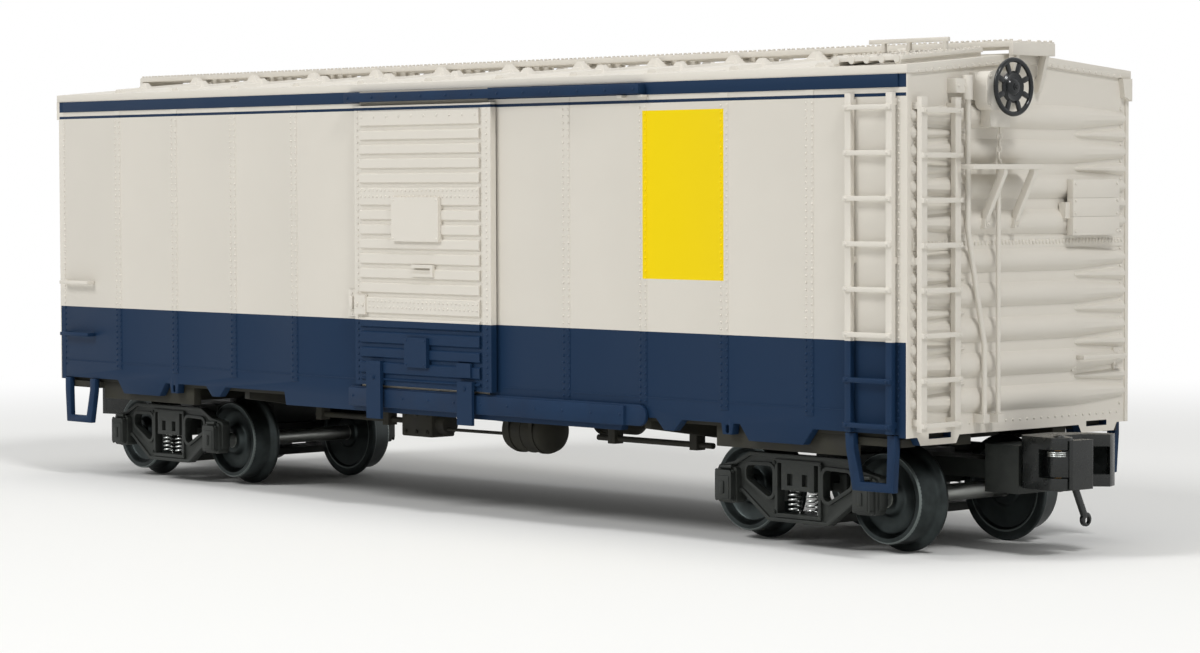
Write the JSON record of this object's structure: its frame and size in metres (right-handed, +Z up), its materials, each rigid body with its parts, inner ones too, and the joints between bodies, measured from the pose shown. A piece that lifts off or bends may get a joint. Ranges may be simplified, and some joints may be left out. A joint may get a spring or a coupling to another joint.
{
  "type": "model railroad boxcar",
  "caption": "Model steel boxcar with sliding side doors, pressed ends, a roof walk, swivelling trucks with flanged wheels and knuckle couplers.",
  "frame": {"origin": "on the floor below the middle of the car, level with the wheels' flanges", "axes": "+X along the car towards the end with the brake wheel, +Z up, -Y towards the side whose door slides to +X"},
  "size_m": [0.297, 0.067, 0.0937],
  "materials": {
    "body_cream": "satin warm grey-cream paint on a moulded plastic shell",
    "brake_black": "gloss near-black moulding",
    "navy_paint": "satin dark navy paint on moulded plastic",
    "pin_brass": "plain turned brass",
    "roof_cream": "satin warm grey-cream paint on the roof and its boards",
    "spring_steel": "bright wound steel",
    "truck_grey": "matt dark greenish charcoal paint on die-cast metal",
    "underframe_olive": "matt dark olive-grey moulded plastic",
    "wheel_steel": "blackened steel with a worn tread"
  },
  "bodies": {
    "car_body": {"side_near": "body_cream", "side_far": "body_cream", "end_brake": "body_cream", "end_plain": "body_cream", "roof": "roof_cream", "running_board": "roof_cream", "lateral_board_brake": "roof_cream", "lateral_board_plain": "roof_cream", "roof_grab_brake": "roof_cream", "roof_grab_plain": "roof_cream", "ladder_side_near": "body_cream", "ladder_side_far": "body_cream", "ladder_end_brake": "body_cream", "ladder_end_plain": "body_cream", "grab_irons": "body_cream", "stirrups": "navy_paint", "door_track_near": "navy_paint", "door_track_far": "navy_paint", "floor": "underframe_olive", "underframe": "underframe_olive", "air_reservoir": "underframe_olive", "brake_cylinder": "underframe_olive", "control_valve": "underframe_olive", "brake_rods": "underframe_olive", "brake_housing": "body_cream", "brake_wheel": "brake_black", "brake_rod": "body_cream", "brake_step": "body_cream", "retainer_valve": "body_cream", "placards": "body_cream"},
    "truck_brake": {"truck_frame_brake": "truck_grey", "truck_springs_brake": "spring_steel", "coupler_head_brake": "truck_grey", "coupler_pin_brake": "pin_brass", "uncoupling_lever_brake": "truck_grey"},
    "axle_inner_brake": {"wheelset_inner_brake": "wheel_steel"},
    "axle_outer_brake": {"wheelset_outer_brake": "wheel_steel"},
    "knuckle_brake": {"coupler_knuckle_brake": "truck_grey"},
    "truck_plain": {"truck_frame_plain": "truck_grey", "truck_springs_plain": "spring_steel", "coupler_head_plain": "truck_grey", "coupler_pin_plain": "pin_brass", "uncoupling_lever_plain": "truck_grey"},
    "axle_inner_plain": {"wheelset_inner_plain": "wheel_steel"},
    "axle_outer_plain": {"wheelset_outer_plain": "wheel_steel"},
    "knuckle_plain": {"coupler_knuckle_plain": "truck_grey"},
    "door_near_leaf": {"door_near": "body_cream"},
    "door_far_leaf": {"door_far": "body_cream"}
  },
  "joints": [
    {"name": "truck_brake_swivel", "type": "hinge", "parent": "car_body", "child": "truck_brake", "pos_m": [0.0995, 0, 0.0182], "axis": [0, 0, 1], "range_deg": [-15, 15]},
    {"name": "axle_inner_brake_roll", "type": "hinge", "parent": "truck_brake", "child": "axle_inner_brake", "pos_m": [0.0818, 0, 0.0101], "axis": [0, 1, 0], "continuous": true},
    {"name": "axle_outer_brake_roll", "type": "hinge", "parent": "truck_brake", "child": "axle_outer_brake", "pos_m": [0.1172, 0, 0.0101], "axis": [0, 1, 0], "continuous": true},
    {"name": "knuckle_brake_open", "type": "hinge", "parent": "truck_brake", "child": "knuckle_brake", "pos_m": [0.1452, -0.0043, 0.01725], "axis": [0, 0, -1], "range_deg": [0, 45]},
    {"name": "truck_plain_swivel", "type": "hinge", "parent": "car_body", "child": "truck_plain", "pos_m": [-0.0995, 0, 0.0182], "axis": [0, 0, 1], "range_deg": [-15, 15]},
    {"name": "axle_inner_plain_roll", "type": "hinge", "parent": "truck_plain", "child": "axle_inner_plain", "pos_m": [-0.0818, 0, 0.0101], "axis": [0, 1, 0], "continuous": true},
    {"name": "axle_outer_plain_roll", "type": "hinge", "parent": "truck_plain", "child": "axle_outer_plain", "pos_m": [-0.1172, 0, 0.0101], "axis": [0, 1, 0], "continuous": true},
    {"name": "knuckle_plain_open", "type": "hinge", "parent": "truck_plain", "child": "knuckle_plain", "pos_m": [-0.1452, 0.0043, 0.01725], "axis": [0, 0, -1], "range_deg": [0, 45]},
    {"name": "door_near_slide", "type": "slide", "parent": "car_body", "child": "door_near_leaf", "axis": [1, 0, 0], "range_m": [0, 0.042]},
    {"name": "door_far_slide", "type": "slide", "parent": "car_body", "child": "door_far_leaf", "axis": [-1, 0, 0], "range_m": [0, 0.042]}
  ]
}
